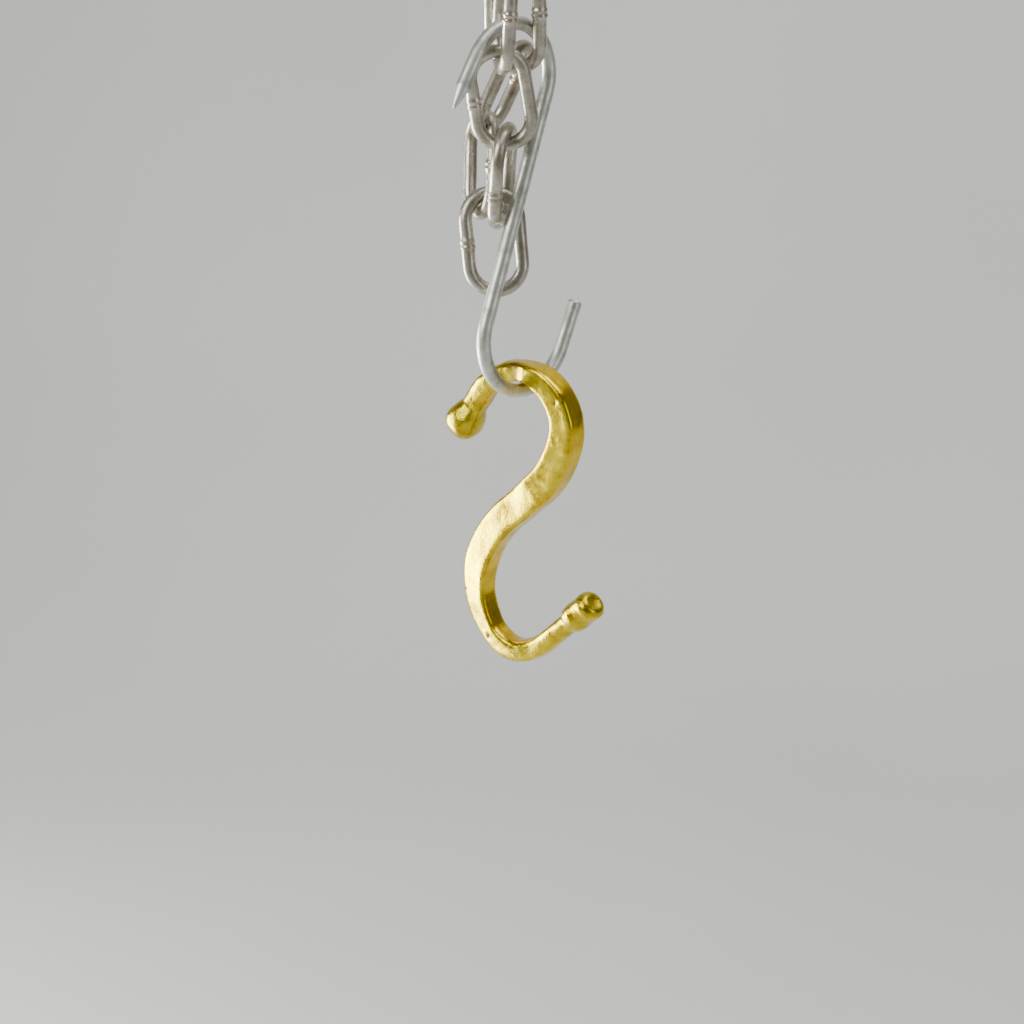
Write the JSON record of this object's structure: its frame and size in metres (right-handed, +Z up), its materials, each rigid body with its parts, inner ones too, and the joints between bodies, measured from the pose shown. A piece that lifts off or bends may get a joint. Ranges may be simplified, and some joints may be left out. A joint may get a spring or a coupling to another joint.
{
  "type": "meat hook",
  "caption": "Butcher's rail set: a gathered loop of welded chain links carrying a pointed steel wire meat hook and a heavy brass S-hook with knobbed ends.",
  "frame": {"origin": "inside of the right carrier link's top bend, where the set hangs from its support", "axes": "+Z up along the hanging set, +X to the right and +Y to the back of a person facing it"},
  "size_m": [0.0578, 0.0508, 0.2646],
  "materials": {
    "chain_steel": "dull zinc-plated wire with brown-grey film",
    "hook_steel": "satin drawn steel wire",
    "brass": "worn satin brass with fine scratches and pits"
  },
  "bodies": {
    "carriers": {"carrier_link_right": "chain_steel", "carrier_link_left": "chain_steel"},
    "left_link_1": {"left_strand_link_1": "chain_steel"},
    "left_link_2": {"left_strand_link_2": "chain_steel"},
    "right_link_1": {"right_strand_link_1": "chain_steel"},
    "right_link_2": {"right_strand_link_2": "chain_steel"},
    "bottom_link": {"bottom_link": "chain_steel"},
    "wire_hook": {"wire_meat_hook": "hook_steel"},
    "brass_hook": {"brass_s_hook": "brass"}
  },
  "joints": [
    {"name": "left_link_1_swing", "type": "hinge", "parent": "carriers", "child": "left_link_1", "pos_m": [-0.00459, -0.01069, -0.02957], "axis": [-0.1834, 0.9807, 0.0672], "range_deg": [-0.5, 0.7]},
    {"name": "left_link_2_swing", "type": "hinge", "parent": "left_link_1", "child": "left_link_2", "pos_m": [-0.00216, -0.00644, -0.05864], "axis": [0.9854, 0.0632, 0.1581], "range_deg": [-3, 2.5]},
    {"name": "right_link_1_swing", "type": "hinge", "parent": "carriers", "child": "right_link_1", "pos_m": [0.0004, 0.00239, -0.03271], "axis": [0.9004, -0.4345, -0.0208], "range_deg": [-0.3, 1]},
    {"name": "right_link_2_swing", "type": "hinge", "parent": "right_link_1", "child": "right_link_2", "pos_m": [-0.01142, 0.00931, -0.05826], "axis": [0.4333, 0.8964, -0.0933], "range_deg": [-1.5, 1.5]},
    {"name": "bottom_link_swing", "type": "hinge", "parent": "right_link_2", "child": "bottom_link", "pos_m": [-0.0122, -0.00053, -0.08555], "axis": [0.432, -0.8451, 0.3149], "range_deg": [-14, 5]},
    {"name": "wire_hook_swing", "type": "hinge", "parent": "carriers", "child": "wire_hook", "pos_m": [-0.00181, -0.00607, -0.01488], "axis": [0.694, 0.7196, -0.0223], "range_deg": [-2, 0.3]},
    {"name": "brass_hook_swing", "type": "hinge", "parent": "wire_hook", "child": "brass_hook", "pos_m": [0.00377, -0.00673, -0.14992], "axis": [0.694, 0.7196, -0.0223], "range_deg": [-40, 40]}
  ]
}
